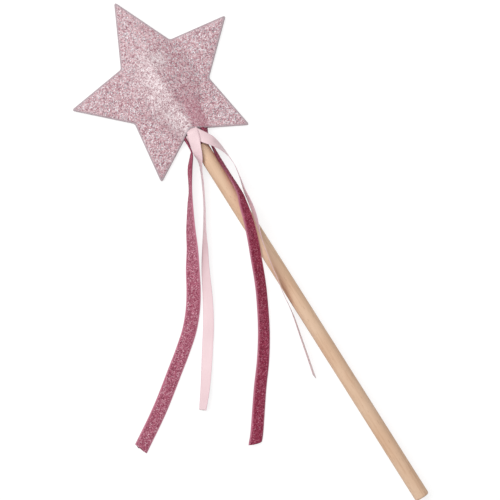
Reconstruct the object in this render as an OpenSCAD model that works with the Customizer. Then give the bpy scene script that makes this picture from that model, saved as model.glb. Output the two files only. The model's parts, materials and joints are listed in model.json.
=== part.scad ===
// Toy magic wand: a padded five-point fabric star glued on a wooden dowel, with a velvet
// and a satin ribbon tied round the neck. It lies on its back, star face up, the dowel
// along Y. The origin is on the table, under the middle of the dowel and star.

/* [Dowel] */
// Diameter of the dowel
dowel_d = 9; // [7:0.5:12]
// Length of the dowel, from the free end to the end inside the star
dowel_len = 300; // [240:5:400]
// Rounding of the free end
dowel_round = 1.2; // [0.5:0.1:2]
// How much the radius is sanded back where the ribbons and the star sit
seat_cut = 0.2; // [0.2:0.05:0.5]
// How far the dowel reaches past the middle of the star
dowel_reach = 15; // [5:1:20]

/* [Star] */
// Distance from the origin to the middle of the star
star_y = 115; // [90:1:150]
// Radius of the star at its rounded tips
star_tip_r = 55; // [48:0.5:65]
// Radius of the star at its notches
star_notch_r = 28; // [26:0.5:32]
// Rounding of the tips
tip_round = 1.5; // [0.5:0.1:2.5]
// Rounding of the notches
notch_round = 2.5; // [0.5:0.1:4]
// Thickness of the front and back fabric
fabric_t = 0.8; // [0.4:0.1:1.2]
// Thickness of the felt core
core_t = 1.4; // [0.8:0.1:2]
// Padding between the dowel and the front fabric
pad_over = 1.2; // [0.6:0.1:2.5]
// Half width of the padded ridge at its foot
ridge_half_w = 18; // [14:0.5:22]
// How far the padding stays back from the outline
pad_inset = 3; // [2:0.5:5]

/* [Ribbons] */
// Width of the velvet ribbon
velvet_w = 8.5; // [7:0.5:10]
// Thickness of the velvet ribbon
velvet_t = 0.9; // [0.5:0.1:1.2]
// Width of the satin ribbon
satin_w = 6.5; // [5:0.5:8]
// Thickness of the satin ribbon
satin_t = 0.3; // [0.2:0.05:0.5]
// Gap between the notch of the star and the velvet turn
neck_gap = 4; // [3:0.5:6]
// Length of the velvet fold that lies along the right of the dowel
fold_len = 10; // [6:1:14]

/* [Clearances] */
// Gap between pieces that lie against each other
lay_gap = 0.05; // [0.02:0.01:0.15]
// Gap between the ribbon turns and the table
table_gap = 0.05; // [0.02:0.01:0.3]
// Play round the dowel in the slot of the core
slot_play = 0.6; // [0.3:0.1:1.5]

/* [Hidden] */
$fn = 64;

dowel_r = dowel_d / 2;
seat_r = dowel_r - seat_cut;
velvet_in = seat_r + lay_gap;
velvet_out = velvet_in + velvet_t;
satin_in = velvet_out + lay_gap;
satin_out = satin_in + satin_t;
dowel_z = satin_out + table_gap;
dowel_top_y = star_y + dowel_reach;
dowel_end_y = dowel_top_y - dowel_len;

core_z = fabric_t;
rim_z = core_z + core_t;
notch_y = star_y - star_notch_r;
wrap_top_y = notch_y - neck_gap;
wrap_end_y = wrap_top_y - velvet_w;
seat_y = wrap_end_y - fold_len;
ridge_in_r = seat_r + pad_over;
ridge_out_r = ridge_in_r + fabric_t;
slot_half_w = sqrt(pow(seat_r, 2) - pow(dowel_z - rim_z, 2)) + slot_play;
above = star_tip_r;

velvet_red = [0.55, 0.18, 0.33];
satin_pink = [0.94, 0.82, 0.86];
fabric_pink = [0.82, 0.66, 0.70];

// Routes of the free ribbons: x, y, z and the roll in degrees. A positive roll lifts the
// edge on the left when looking along the ribbon from the neck.
velvet_left_route = [[-6.4, 74.2, 5.2, -90], [-7.9, 71.8, 5.1, -90], [-13, 65.5, 4.8, -90],
    [-19, 55.5, 4.5, -88], [-25.5, 45.5, 4.3, -65], [-31.5, 35.5, 3.8, -50], [-37, 25, 3.2, -37],
    [-43, 15, 2, -18], [-49, 4.5, 1.2, -6], [-55.5, -5, 1, -4], [-63.5, -14, 0.9, -2],
    [-73, -22, 0.9, 0], [-83, -29.5, 0.9, 2], [-103.5, -44.5, 1, 3], [-125, -58, 1, 3]];
velvet_right_route = [[6.4, 64.2, 5.7, 90], [6.2, 58, 5.8, 90], [5.9, 50, 7.4, 87],
    [5.4, 43, 9.7, 77], [4.5, 36.5, 11, 67], [3, 31, 12.5, 55], [0.4, 21.5, 14.4, 48],
    [-3.1, 11.5, 15.1, 43], [-7.6, 0.5, 12.6, 41], [-12.6, -11.5, 8.4, 41],
    [-17.7, -22, 5.6, 40], [-26.3, -37.5, 4, 36], [-36, -52, 3.3, 32], [-47, -66, 3, 30],
    [-61, -85, 2.9, 28], [-66.3, -91.3, 2.9, 28]];
satin_left_route = [[-2.9, 74.2, 11.5, -27], [-3.6, 72, 11.1, -34], [-4.6, 69, 10, -48],
    [-5.9, 65.5, 7.7, -72], [-7.6, 61.5, 5.4, -86], [-10.9, 54.5, 3.7, -90],
    [-16.8, 43.5, 3.5, -89], [-24.5, 31, 3.5, -74], [-30.5, 21, 3.1, -57],
    [-36.5, 11, 2.7, -44], [-45, -5, 1.8, -25], [-52.5, -17.5, 1, -10], [-59, -27, 0.9, -8],
    [-72.5, -46, 2.1, -30], [-82, -58, 2.9, -50]];
satin_right_lead = [[0.4, 83, 11.5, 0], [2.6, 79.5, 11.5, 4], [5, 76, 11.2, 18],
    [7.2, 72.5, 10.6, 36], [9.3, 67.5, 8.6, 64], [10.6, 61, 6.6, 84], [10.8, 53.5, 6, 90],
    [9.5, 45.5, 6.8, 94], [7.8, 38, 8.6, 101], [7, 32, 10.5, 106], [6, 26, 12.2, 108],
    [4.5, 20, 13.5, 106], [2.7, 14, 14.3, 98], [1, 8, 14.7, 92], [-0.3, 2, 14.7, 90],
    [-1.5, -4, 14.6, 90], [-2.6, -10, 14.2, 90], [-3.5, -16, 13.7, 90], [-4.7, -22, 12.5, 90],
    [-5.7, -28, 10.5, 90], [-6.1, -32, 8, 89], [-6.5, -35, 5.6, 88], [-6.9, -37.5, 4, 86],
    [-7.2, -39.4, 3.6, 85], [-7.4, -40.7, 3.6, 84]];
satin_right_route = [[-7.5, -41, 3.6, 84], [-9.6, -50, 3.6, 86], [-12, -65, 3.6, 84],
    [-16, -77.5, 3.6, 82]];
satin_left_lead = [[0.2, 83, 12.2, 0], [-0.6, 80.5, 12.3, -4], [-1.8, 77.5, 12.1, -14],
    [-2.8, 74.5, 11.6, -26]];

function unit(v) = v / norm(v);
// A point of the smooth curve through a route, at a run from 0 to 1
function route_at(p, u) =
    let (n = len(p) - 1, i = min(floor(u * n), n - 1), t = u * n - i,
        b = p[i], c = p[i + 1],
        m = i > 0 ? (c - p[i - 1]) / 2 : c - b,
        k = i < n - 1 ? (p[i + 2] - b) / 2 : c - b)
    b + t * (m + t * (3 * (c - b) - 2 * m - k + t * (2 * (b - c) + m + k)));
function place(q) = [q[0], q[1], q[2]];
function heading(p, u) =
    unit(place(route_at(p, min(u + 0.002, 1))) - place(route_at(p, max(u - 0.002, 0))));
// The four corners of a ribbon across its route; the faces on both sides fold alike
function corners(p, u, w, t) =
    let (q = route_at(p, u), f = heading(p, u), r = unit(cross(f, [0, 0, 1])), up = cross(r, f),
        a = q[3], across = cos(a) * r + sin(a) * up, out = cos(a) * up - sin(a) * r)
    [for (s = [[1, 1], [-1, 1], [-1, -1], [1, -1]])
        place(q) + across * s[0] * w / 2 + out * s[1] * t / 2];

module ribbon(route, w, t, steps) {
    pts = [for (i = [0:steps]) each corners(route, i / steps, w, t)];
    last = steps * 4;
    polyhedron(pts, concat(
        [[0, 2, 1], [0, 3, 2], [last, last + 1, last + 2], [last, last + 2, last + 3]],
        [for (i = [0:steps - 1], j = [0:3])
            let (a = i * 4 + j, b = i * 4 + (j + 1) % 4)
            each j < 2 ? [[a, b, b + 4], [a, b + 4, a + 4]] : [[a, b, a + 4], [b, b + 4, a + 4]]]));
}

// Points of an arc that rounds corner q between its neighbours
function rounded(a, q, b, r) =
    let (u = unit(a - q), v = unit(b - q), half = acos(u * v) / 2,
        mid = q + unit(u + v) * r / sin(half),
        f = q + u * r / tan(half) - mid, g = q + v * r / tan(half) - mid,
        turn = acos(unit(f) * unit(g)), n = 5)
    [for (i = [0:n]) mid + (f * sin(turn * (1 - i / n)) + g * sin(turn * i / n)) / sin(turn)];
// How much the rounding takes off a tip whose sharp corner is at radius r
function tip_cut(r) =
    let (half = atan2(star_notch_r * sin(36), r - star_notch_r * cos(36)))
    tip_round * (1 / sin(half) - 1);
sharp_tip_r = star_tip_r + tip_cut(star_tip_r + tip_cut(star_tip_r + tip_cut(star_tip_r)));
function star_corner(i, back) =
    (i % 2 == 0 ? sharp_tip_r - back * 2 : star_notch_r - back) * [sin(i * 36), cos(i * 36)];
function star_points(back) = [for (i = [0:9])
    each rounded(star_corner(i + 9, back), star_corner(i, back), star_corner(i + 1, back),
        i % 2 == 0 ? tip_round : notch_round)];

module star_prism(z0, z1, back = 0) {
    translate([0, star_y, z0]) linear_extrude(z1 - z0) polygon(star_points(back));
}

module along_y(r, y0, y1) {
    translate([0, y1, dowel_z]) rotate([90, 0, 0]) cylinder(r = r, h = y1 - y0);
}

// Half of the ridge's section: an arc over the dowel, then a straight flank to its foot
function ridge_half(r, foot_x, foot_z) =
    let (dz = foot_z - dowel_z, d = norm([foot_x, dz]),
        a = atan2(dz, foot_x) + acos(r / d), n = 6)
    concat([[0, foot_z], [foot_x, foot_z]],
        [for (i = [0:n]) let (b = a + (90 - a) * i / n) [i == n ? 0 : r * cos(b), dowel_z + r * sin(b)]]);
function mirrored(p) = concat(p, [for (i = [len(p) - 1:-1:0]) if (p[i][0] > 0) [-p[i][0], p[i][1]]]);

module ridge(r, foot_x, foot_z) {
    half = ridge_half(r, foot_x, foot_z);
    low_y = star_y - star_tip_r;
    translate([0, dowel_top_y, 0]) rotate([90, 0, 0])
        linear_extrude(dowel_top_y - low_y) polygon(mirrored(half));
    translate([0, dowel_top_y, 0]) rotate_extrude(angle = 180) polygon(half);
}

module dowel() {
    color([0.87, 0.73, 0.58]) union() {
        translate([0, seat_y, dowel_z]) rotate([90, 0, 0]) rotate_extrude() {
            h = seat_y - dowel_end_y;
            square([dowel_r - dowel_round, h]);
            square([dowel_r, h - dowel_round]);
            translate([dowel_r - dowel_round, h - dowel_round]) circle(dowel_round);
        }
        along_y(seat_r, seat_y, dowel_top_y);
    }
}

module star_back_panel() {
    color(fabric_pink) star_prism(0, fabric_t);
}

module star_core() {
    color([0.93, 0.88, 0.88]) difference() {
        star_prism(core_z, rim_z);
        translate([-slot_half_w, notch_y - above, 0])
            cube([2 * slot_half_w, dowel_top_y + slot_play - notch_y + above, above]);
    }
}

module dowel_glue() {
    color([0.9, 0.86, 0.75]) difference() {
        translate([-slot_half_w + lay_gap, notch_y + pad_inset, core_z])
            cube([2 * (slot_half_w - lay_gap), dowel_top_y - notch_y - pad_inset, core_t - lay_gap]);
        along_y(seat_r, notch_y - above, dowel_top_y + above);
    }
}

module star_padding() {
    color([0.96, 0.94, 0.93]) difference() {
        intersection() {
            star_prism(rim_z, above, pad_inset);
            ridge(ridge_in_r - lay_gap, ridge_half_w - pad_inset, rim_z);
        }
        along_y(seat_r + lay_gap, notch_y - above, dowel_top_y + lay_gap);
    }
}

module star_front_panel() {
    color(fabric_pink) difference() {
        union() {
            star_prism(rim_z, rim_z + fabric_t);
            intersection() {
                star_prism(rim_z, above);
                ridge(ridge_out_r, ridge_half_w, rim_z + fabric_t / 2);
            }
        }
        ridge(ridge_in_r, ridge_half_w - fabric_t, rim_z);
    }
}

module neck_turn(r0, r1, y0, y1) {
    difference() {
        along_y(r1, y0, y1);
        along_y(r0, y0 - above, y1 + above);
    }
}

module velvet_wrap() {
    fold_x = velvet_in + velvet_t / 2;
    fold_turn = atan2(velvet_right_route[0][0] - fold_x, velvet_w / 2 + fold_len);
    color(velvet_red) union() {
        neck_turn(velvet_in, velvet_out, wrap_end_y, wrap_top_y);
        difference() {
            translate([fold_x, wrap_end_y + velvet_w / 2, dowel_z]) rotate([0, 0, fold_turn])
                translate([-velvet_t / 2, -velvet_w / 2 - fold_len, -velvet_w / 2])
                    cube([velvet_t, velvet_w / 2 + fold_len, velvet_w]);
            along_y(satin_out, wrap_end_y, wrap_top_y);
            translate([-above, seat_y - above, -above])
                cube([2 * above, above, 2 * above]);
        }
    }
}

module satin_wrap() {
    color(satin_pink) neck_turn(satin_in, satin_out, wrap_top_y - satin_w, wrap_top_y);
}

module satin_lead_left() {
    color(satin_pink) ribbon(satin_left_lead, satin_w, satin_t, 5);
}

module satin_lead_right() {
    color(satin_pink) ribbon(satin_right_lead, satin_w, satin_t, 48);
}

module velvet_tail_left() {
    color(velvet_red) ribbon(velvet_left_route, velvet_w, velvet_t, 18);
}

module velvet_tail_right() {
    color(velvet_red) ribbon(velvet_right_route, velvet_w, velvet_t, 30);
}

module satin_tail_left() {
    color(satin_pink) ribbon(satin_left_route, satin_w, satin_t, 20);
}

module satin_tail_right() {
    color(satin_pink) ribbon(satin_right_route, satin_w, satin_t, 6);
}

dowel();
star_front_panel();
star_padding();
star_core();
star_back_panel();
dowel_glue();
velvet_wrap();
satin_wrap();
satin_lead_left();
satin_lead_right();
velvet_tail_left();
velvet_tail_right();
satin_tail_left();
satin_tail_right();
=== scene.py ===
"""Toy magic wand: a padded glitter star on a wooden dowel, with velvet and satin ribbon tails.

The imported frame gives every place. This script builds the cloth, felt and wood round it, dresses
them, and sets the studio: a pale floor, soft light from the left and a camera straight above.
"""

from __future__ import annotations

import json
import logging
import math
from dataclasses import dataclass
from enum import Enum
from functools import cached_property

import bmesh
import bpy
import numpy as np
from bpy.types import ColorRamp, Material, Node, NodeSocket, Object, World
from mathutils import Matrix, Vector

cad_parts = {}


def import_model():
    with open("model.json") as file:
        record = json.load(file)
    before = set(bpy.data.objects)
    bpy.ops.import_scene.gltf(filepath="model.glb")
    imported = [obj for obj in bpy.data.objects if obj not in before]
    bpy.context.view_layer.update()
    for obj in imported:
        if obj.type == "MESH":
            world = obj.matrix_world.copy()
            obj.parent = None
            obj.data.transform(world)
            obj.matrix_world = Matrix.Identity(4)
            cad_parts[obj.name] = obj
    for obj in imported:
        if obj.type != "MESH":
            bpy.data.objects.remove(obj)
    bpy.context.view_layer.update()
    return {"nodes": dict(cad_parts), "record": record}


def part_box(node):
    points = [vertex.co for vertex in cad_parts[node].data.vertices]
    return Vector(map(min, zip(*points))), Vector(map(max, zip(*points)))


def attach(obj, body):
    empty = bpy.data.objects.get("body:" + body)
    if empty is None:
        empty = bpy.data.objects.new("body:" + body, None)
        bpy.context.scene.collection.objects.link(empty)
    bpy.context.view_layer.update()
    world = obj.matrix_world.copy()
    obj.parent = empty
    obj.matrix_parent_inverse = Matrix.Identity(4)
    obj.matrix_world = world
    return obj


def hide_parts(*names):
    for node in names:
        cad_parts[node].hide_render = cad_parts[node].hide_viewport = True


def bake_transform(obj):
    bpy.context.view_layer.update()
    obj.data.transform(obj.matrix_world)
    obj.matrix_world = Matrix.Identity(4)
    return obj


LOG = logging.getLogger("wand")
MM = 0.001
WAND = "wand"

Array = np.ndarray
Colour = tuple[float, float, float, float]
Point = tuple[float, float, float]
Shift = tuple[float, float]
Stop = tuple[float, Colour]
Ramp = tuple[Stop, ...]

WHITE: Colour = (1.0, 1.0, 1.0, 1.0)


def srgb(red: int, green: int, blue: int) -> Colour:
    """A screen colour from 0 to 255 as the linear colour that shaders take.

    Args:
        red: Red, 0 to 255.
        green: Green, 0 to 255.
        blue: Blue, 0 to 255.

    Returns:
        Linear red, green and blue, and an alpha of 1.
    """
    share = np.array([red, green, blue]) / 255
    linear = np.where(share <= 0.04045, share / 12.92, ((share + 0.055) / 1.055) ** 2.4)
    return (float(linear[0]), float(linear[1]), float(linear[2]), 1.0)


def graded(*rows: tuple[float, int, int, int]) -> Ramp:
    """The stops of a ramp, from rows of a place from 0 to 1 and a screen colour."""
    return tuple((place, srgb(*colour)) for place, *colour in rows)


def eased(share: Array) -> Array:
    """Shares held between 0 and 1 that start and stop gently: 3 t squared less 2 t cubed."""
    held = np.clip(share, 0, 1)
    return held * held * (3 - 2 * held)


def unit(vectors: Array) -> Array:
    """Vectors brought to length 1."""
    return vectors / np.linalg.norm(vectors, axis=-1, keepdims=True)


def run_along(points: Array) -> Array:
    """The distance along a chain of points to each of them, from 0."""
    return np.concatenate([[0], np.cumsum(np.linalg.norm(np.diff(points, axis=0), axis=1))])


def at_height(plane: Array, height: Array | float) -> Array:
    """Places in the plane, of x and y, brought to a height."""
    level = np.broadcast_to(height, plane.shape[:2])
    return np.concatenate([plane, level[..., None]], axis=-1)


def arch(radius: Array | float, away: Array) -> Array:
    """Height of a round of that radius at a distance from its middle, and 0 past its edge."""
    return np.sqrt(np.maximum(radius ** 2 - away ** 2, 0))


class Value:
    """A node socket that takes part in Python sums: each operator adds one Math node."""

    def __init__(self, shader: Shader, socket: NodeSocket) -> None:
        """Wraps a socket of a shader's tree."""
        self.shader = shader
        self.socket = socket

    def __add__(self, other: Value | float) -> Value:
        """This value plus another."""
        return self.shader.math("ADD", self, other)

    def __radd__(self, other: float) -> Value:
        """A number plus this value."""
        return self.shader.math("ADD", other, self)

    def __sub__(self, other: Value | float) -> Value:
        """This value less another."""
        return self.shader.math("SUBTRACT", self, other)

    def __rsub__(self, other: float) -> Value:
        """A number less this value."""
        return self.shader.math("SUBTRACT", other, self)

    def __mul__(self, other: Value | float) -> Value:
        """This value times another."""
        return self.shader.math("MULTIPLY", self, other)

    def __rmul__(self, other: float) -> Value:
        """A number times this value."""
        return self.shader.math("MULTIPLY", other, self)

    def __gt__(self, other: Value | float) -> Value:
        """1 where this value is the larger, 0 elsewhere."""
        return self.shader.math("GREATER_THAN", self, other)

    def __lt__(self, other: Value | float) -> Value:
        """1 where this value is the smaller, 0 elsewhere."""
        return self.shader.math("LESS_THAN", self, other)


class Shader:
    """The node tree of a material or of the world, under construction."""

    def __init__(self, owner: Material | World) -> None:
        """Takes the owner's tree and empties it.

        Args:
            owner: The material or world that the nodes are for.
        """
        owner.use_nodes = True
        self.owner = owner
        self.tree = owner.node_tree
        self.tree.nodes.clear()

    @classmethod
    def of_material(cls, name: str) -> Shader:
        """The empty tree of a new material of that name."""
        return cls(bpy.data.materials.new(name))

    def node(self, kind: str, settings: dict | None = None, inputs: dict | None = None) -> Node:
        """Adds a node, sets it up and then feeds its sockets.

        Args:
            kind: The node's type, without its leading ShaderNode.
            settings: Its properties by name, and a ramp's stops under the key stops.
            inputs: Values or links by socket name or number.

        Returns:
            The new node.
        """
        made = self.tree.nodes.new("ShaderNode" + kind)
        for key, setting in (settings or {}).items():
            if key == "stops":
                self.set_stops(made.color_ramp, setting)
            else:
                setattr(made, key, setting)
        for key, value in (inputs or {}).items():
            self.feed(made.inputs[key], value)
        return made

    def value(
        self, kind: str, output: str | int, settings: dict | None = None, inputs: dict | None = None
    ) -> Value:
        """One output, by name or number, of a new node, ready for sums and links."""
        return Value(self, self.node(kind, settings, inputs).outputs[output])

    def feed(self, socket: NodeSocket, value: Value | float | tuple) -> None:
        """Links a Value to a socket, or sets the socket to a plain number or colour.

        Args:
            socket: The socket to feed.
            value: What it is fed.
        """
        if isinstance(value, Value):
            self.tree.links.new(value.socket, socket)
        else:
            socket.default_value = value

    @staticmethod
    def set_stops(ramp: ColorRamp, stops: Ramp) -> None:
        """Gives a ramp its places and colours.

        Args:
            ramp: The ramp of a new node, which has two stops.
            stops: Places and colours, in rising order.
        """
        while len(ramp.elements) < len(stops):
            ramp.elements.new(1.0)
        for element, (place, colour) in zip(ramp.elements, stops):
            element.position = place
            element.color = colour

    def math(self, operation: str, *terms: Value | float) -> Value:
        """One Math node on its terms."""
        return self.value("Math", 0, {"operation": operation}, dict(enumerate(terms)))

    def vectors(self, operation: str, *terms: Value | Point) -> Value:
        """One Vector Math node on its terms."""
        return self.value("VectorMath", 0, {"operation": operation}, dict(enumerate(terms)))

    def between(self, value: Value, low: float, high: float) -> Value:
        """A value taken smoothly from a range to 0 to 1, and held there."""
        settings = {"interpolation_type": "SMOOTHSTEP"}
        return self.value("MapRange", 0, settings, {0: value, 1: low, 2: high})

    def places(self) -> Value:
        """The piece's own Object coordinates, in metres."""
        return self.value("TexCoord", "Object")

    def mark(self, name: str) -> Value:
        """A number that the mesh carries at its points."""
        return self.value("Attribute", "Fac", {"attribute_name": name})

    def cloth(self) -> Value:
        """Places on the flat cloth before it was bent: across, along and side, in metres."""
        return self.value("Attribute", "Vector", {"attribute_name": "cloth"})

    def stretched(self, vector: Value, factors: Point) -> Value:
        """A vector with each of its axes scaled by its own factor."""
        return self.vectors("MULTIPLY", vector, factors)

    def axis(self, vector: Value, name: str) -> Value:
        """One axis, X, Y or Z, of a vector."""
        return self.value("SeparateXYZ", name, None, {0: vector})

    def noise(self, vector: Value, scale: float, detail: float = 3.0, rough: float = 0.5) -> Value:
        """Soft cloudy variation from 0 to 1."""
        inputs = {"Vector": vector, "Scale": scale, "Detail": detail, "Roughness": rough}
        return self.value("TexNoise", "Fac", None, inputs)

    def flakes(self, vector: Value, size: float) -> Value:
        """A random colour for each of many cells of that size in metres."""
        inputs = {"Vector": vector, "Scale": 1 / size, "Randomness": 1.0}
        return self.value("TexVoronoi", "Color", None, inputs)

    def threads(self, vector: Value, pitch: float) -> Value:
        """Rounded bands along the cloth, one for each thread that crosses it.

        Args:
            vector: Places on the cloth, whose second axis runs along it.
            pitch: Distance from thread to thread, in metres.

        Returns:
            The bands' height, from 0 to 1.
        """
        settings = {"wave_type": "BANDS", "bands_direction": "Y", "wave_profile": "SIN"}
        inputs = {"Vector": vector, "Scale": math.pi / (10 * pitch), "Distortion": 0.0}
        return self.value("TexWave", "Fac", settings, inputs)

    def ramp(self, value: Value, stops: Ramp) -> Value:
        """A colour read off a ramp of stops."""
        return self.value("ValToRGB", "Color", {"stops": stops}, {0: value})

    def mix(self, share: Value, first: Value | Colour, second: Value | Colour) -> Value:
        """Two colours mixed: all of the first at a share of 0, all of the second at 1."""
        settings = {"data_type": "RGBA", "blend_type": "MIX"}
        return self.value("Mix", 2, settings, {0: share, 6: first, 7: second})

    def tilted(self, colour: Value, amount: float) -> Value:
        """The surface's normal turned at random by a cell's colour, as a loose flake lies.

        The colour less a half gives a vector that points anywhere. It is scaled, added to the
        normal and brought back to length 1.

        Args:
            colour: The cells' random colours.
            amount: How far a flake turns: each axis of the added vector is at most half of this.

        Returns:
            The turned normal.
        """
        anywhere = self.vectors("SUBTRACT", colour, (0.5, 0.5, 0.5))
        scaled = self.stretched(anywhere, (amount, amount, amount))
        normal = self.value("NewGeometry", "Normal")
        return self.vectors("NORMALIZE", self.vectors("ADD", normal, scaled))

    def bump(self, height: Value, depth: float, normal: Value | None = None) -> Value:
        """A normal that follows a height.

        Args:
            height: The height, from 0 to 1.
            depth: What a height of 1 stands for, in metres.
            normal: The normal to start from, where it isn't the surface's own.

        Returns:
            The bumped normal.
        """
        inputs = {"Height": height, "Strength": 1.0, "Distance": depth}
        if normal is not None:
            inputs["Normal"] = normal
        return self.value("Bump", "Normal", None, inputs)

    def looked(self) -> Value:
        """Tells what the camera sees, straight, mirrored or through glass, from all other rays.

        Returns:
            At least 1 for what is seen, and 0 for the rest.
        """
        path = self.node("LightPath").outputs
        straight, mirrored = Value(self, path["Is Camera Ray"]), Value(self, path["Is Glossy Ray"])
        return straight + mirrored + Value(self, path["Is Transmission Ray"])

    def chosen(self, other: Value, seen: Value) -> Value:
        """One shader for what the camera sees and another for all other rays."""
        return self.value("MixShader", 0, None, {0: self.looked(), 1: other, 2: seen})

    def principled(self, inputs: dict) -> Material:
        """Ends the material with a Principled shader fed by socket name."""
        self.node("OutputMaterial", None, {"Surface": self.value("BsdfPrincipled", 0, None, inputs)})
        return self.owner


@dataclass(frozen=True)
class GlitterFabric:
    """Pink fabric coated in loose flakes, some pink and some silver."""

    name: str = "glitter_fabric"
    fine: float = 0.5 * MM
    coarse: float = 1.0 * MM
    fine_part: float = 0.62
    coarse_part: float = 0.38
    cloud_part: float = 0.2
    cloud_scale: float = 70.0
    tilt: float = 0.27
    silver_share: float = 0.22
    pinks: Ramp = graded(
        (0.14, 138, 88, 100), (0.4, 182, 137, 145), (0.6, 200, 163, 169), (0.86, 230, 206, 210)
    )
    silvers: Ramp = graded((0.0, 132, 124, 129), (0.5, 188, 180, 185), (1.0, 228, 222, 225))
    # Painted shade: deeper pinks for the slope that falls away to the right of the stick.
    ground: Ramp = graded((0.14, 184, 88, 116), (0.5, 222, 132, 156), (0.86, 246, 186, 200))
    # Painted highlight: pale pinks along the crest over the stick and on its end.
    pressed: Ramp = graded((0.14, 160, 124, 131), (0.5, 220, 199, 202), (0.86, 252, 244, 245))
    cut_edge: Colour = srgb(172, 158, 164)

    def make(self) -> Material:
        """Makes the material: two sizes of flake, each cell with its own tint, tilt and gloss.

        The mark parted paints shade: a deeper pink where the face falls away to the right of the
        stick. The mark pressed paints a pale highlight along the crest over the stick and in a spot on
        its end. The mark rim says where the cut edge shows.

        Returns:
            The finished material.
        """
        shader = Shader.of_material(self.name)
        places = shader.places()
        fine = shader.flakes(places, self.fine)
        coarse = shader.flakes(places, self.coarse)
        cloud = shader.noise(places, self.cloud_scale, 2.0)
        picked = shader.axis(fine, "X") * self.fine_part + shader.axis(coarse, "Y") * self.coarse_part
        shade = picked + (cloud - 0.5) * self.cloud_part
        pink = shader.ramp(shade, self.pinks)
        rim = shader.mark("rim")
        silver = (shader.axis(fine, "Z") < self.silver_share) * (1 - rim * 0.5)
        flaked = shader.mix(silver, pink, shader.ramp(shader.axis(fine, "Y"), self.silvers))
        # Painted highlight: pale flakes along the crest over the stick and on its end.
        flat = shader.ramp(shade, self.pressed)
        worn = shader.mix(shader.mark("pressed") * (0.4 + cloud * 0.5), flaked, flat)
        # Painted shade: a deeper pink on the slope to the right of the stick.
        deep = shader.ramp(shade, self.ground)
        parted = shader.mix(shader.mark("parted") * (0.3 + cloud * 0.5), worn, deep)
        return shader.principled({
            "Base Color": shader.mix(rim * 0.8, parted, self.cut_edge),
            "Metallic": silver * 0.15,
            "Roughness": 0.6 - silver * 0.1,
            "Normal": shader.tilted(fine, self.tilt),
            "Specular IOR Level": 0.3,
            "Coat Weight": (0.2 + shader.axis(coarse, "Z") * 0.2) * (1 - rim * 0.6),
            "Coat Roughness": 0.36,
            "Coat IOR": 1.55,
        })


@dataclass(frozen=True)
class GlitterVelvet:
    """Velvet pile with flakes in it, a woven back and paler selvedges."""

    name: str = "glitter_velvet"
    flake: float = 0.48 * MM
    fine_share: float = 0.45
    brush_scale: float = 420.0
    spark_from: float = 0.8
    tilt: float = 0.4
    rib: float = 0.5 * MM
    depth: float = 0.12 * MM
    raised: Ramp = graded(
        (0.12, 104, 18, 44), (0.42, 152, 44, 74), (0.68, 178, 74, 102), (0.92, 228, 164, 184)
    )
    # Painted light: a paler, lit copy of the pile's tints.
    laid: Ramp = graded(
        (0.12, 122, 40, 66), (0.42, 166, 84, 106), (0.68, 194, 120, 140), (0.92, 240, 204, 214)
    )
    back: tuple[Colour, Colour] = (srgb(186, 104, 128), srgb(214, 146, 164))
    # The first selvedge colour is darker, as painted shade near the neck; the second is the selvedge's
    # own.
    selvedge: tuple[Colour, Colour] = (srgb(116, 40, 64), srgb(208, 136, 156))
    sheen: Colour = srgb(240, 170, 190)

    def make(self) -> Material:
        """Makes the material: the marks pile and edge say which part of the cloth shows.

        The mark laid mixes in a paler copy of the pile, as painted light, and where the mark worn is
        low the selvedge is darker, as painted shade near the neck.

        Returns:
            The finished material.
        """
        shader = Shader.of_material(self.name)
        cloth = shader.cloth()
        cells = shader.flakes(cloth, self.flake)
        fine = shader.flakes(cloth, self.flake * self.fine_share)
        brushed = shader.noise(shader.stretched(cloth, (1.0, 0.35, 1.0)), self.brush_scale, 2.0)
        picked = shader.axis(cells, "X") * 0.6 + shader.axis(fine, "Y") * 0.25 + brushed * 0.15
        deep = shader.ramp(picked, self.raised)
        pale = shader.ramp(picked, self.laid)
        pile = shader.mark("pile")
        edge = shader.mark("edge")
        # Painted light: the mark laid mixes in the paler, lit copy of the pile.
        pile_with_painted_light = shader.mix(shader.mark("laid"), deep, pale)
        weave = shader.threads(cloth, self.rib)
        woven = shader.mix(weave, *self.back)
        # Painted shade: the selvedge is darker near the neck.
        bound = shader.mix(shader.mark("worn"), *self.selvedge)
        colour = shader.mix(pile, shader.mix(edge, woven, bound), pile_with_painted_light)
        spark = (shader.axis(cells, "Z") > self.spark_from) * pile
        height = shader.axis(fine, "X") * pile + weave * (1 - pile)
        return shader.principled({
            "Base Color": colour,
            "Metallic": spark * 0.35,
            "Roughness": 0.8 - spark * 0.4,
            "Normal": shader.bump(height, self.depth, shader.tilted(cells, self.tilt)),
            "Specular IOR Level": 0.2,
            "Sheen Weight": 0.2,
            "Sheen Roughness": 0.45,
            "Sheen Tint": self.sheen,
        })


@dataclass(frozen=True)
class Satin:
    """Pale satin: long floats with a soft gloss, and tighter selvedges."""

    name: str = "pale_satin"
    float_scale: float = 5200.0
    drift_scale: float = 120.0
    rib: float = 0.32 * MM
    depth: float = 0.02 * MM
    light: Colour = srgb(244, 219, 222)
    deep: Colour = srgb(230, 198, 203)
    selvedge: Colour = srgb(226, 192, 201)

    def make(self) -> Material:
        """Makes the material: fine lengthwise floats, crossed by a faint rib.

        Returns:
            The finished material.
        """
        shader = Shader.of_material(self.name)
        cloth = shader.cloth()
        floats = shader.noise(shader.stretched(cloth, (1.0, 0.04, 1.0)), self.float_scale, 2.0, 0.6)
        drift = shader.noise(cloth, self.drift_scale, 2.0)
        rib = shader.threads(cloth, self.rib)
        tint = shader.mix(floats * 0.6 + drift * 0.4, self.deep, self.light)
        colour = shader.mix(shader.mark("edge") * 0.7, tint, self.selvedge)
        return shader.principled({
            "Base Color": colour,
            "Roughness": 0.36 + floats * 0.16,
            "Normal": shader.bump(floats * 0.7 + rib * 0.3, self.depth),
            "Sheen Weight": 0.15,
            "Sheen Roughness": 0.4,
            "Specular IOR Level": 0.45,
        })


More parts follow.
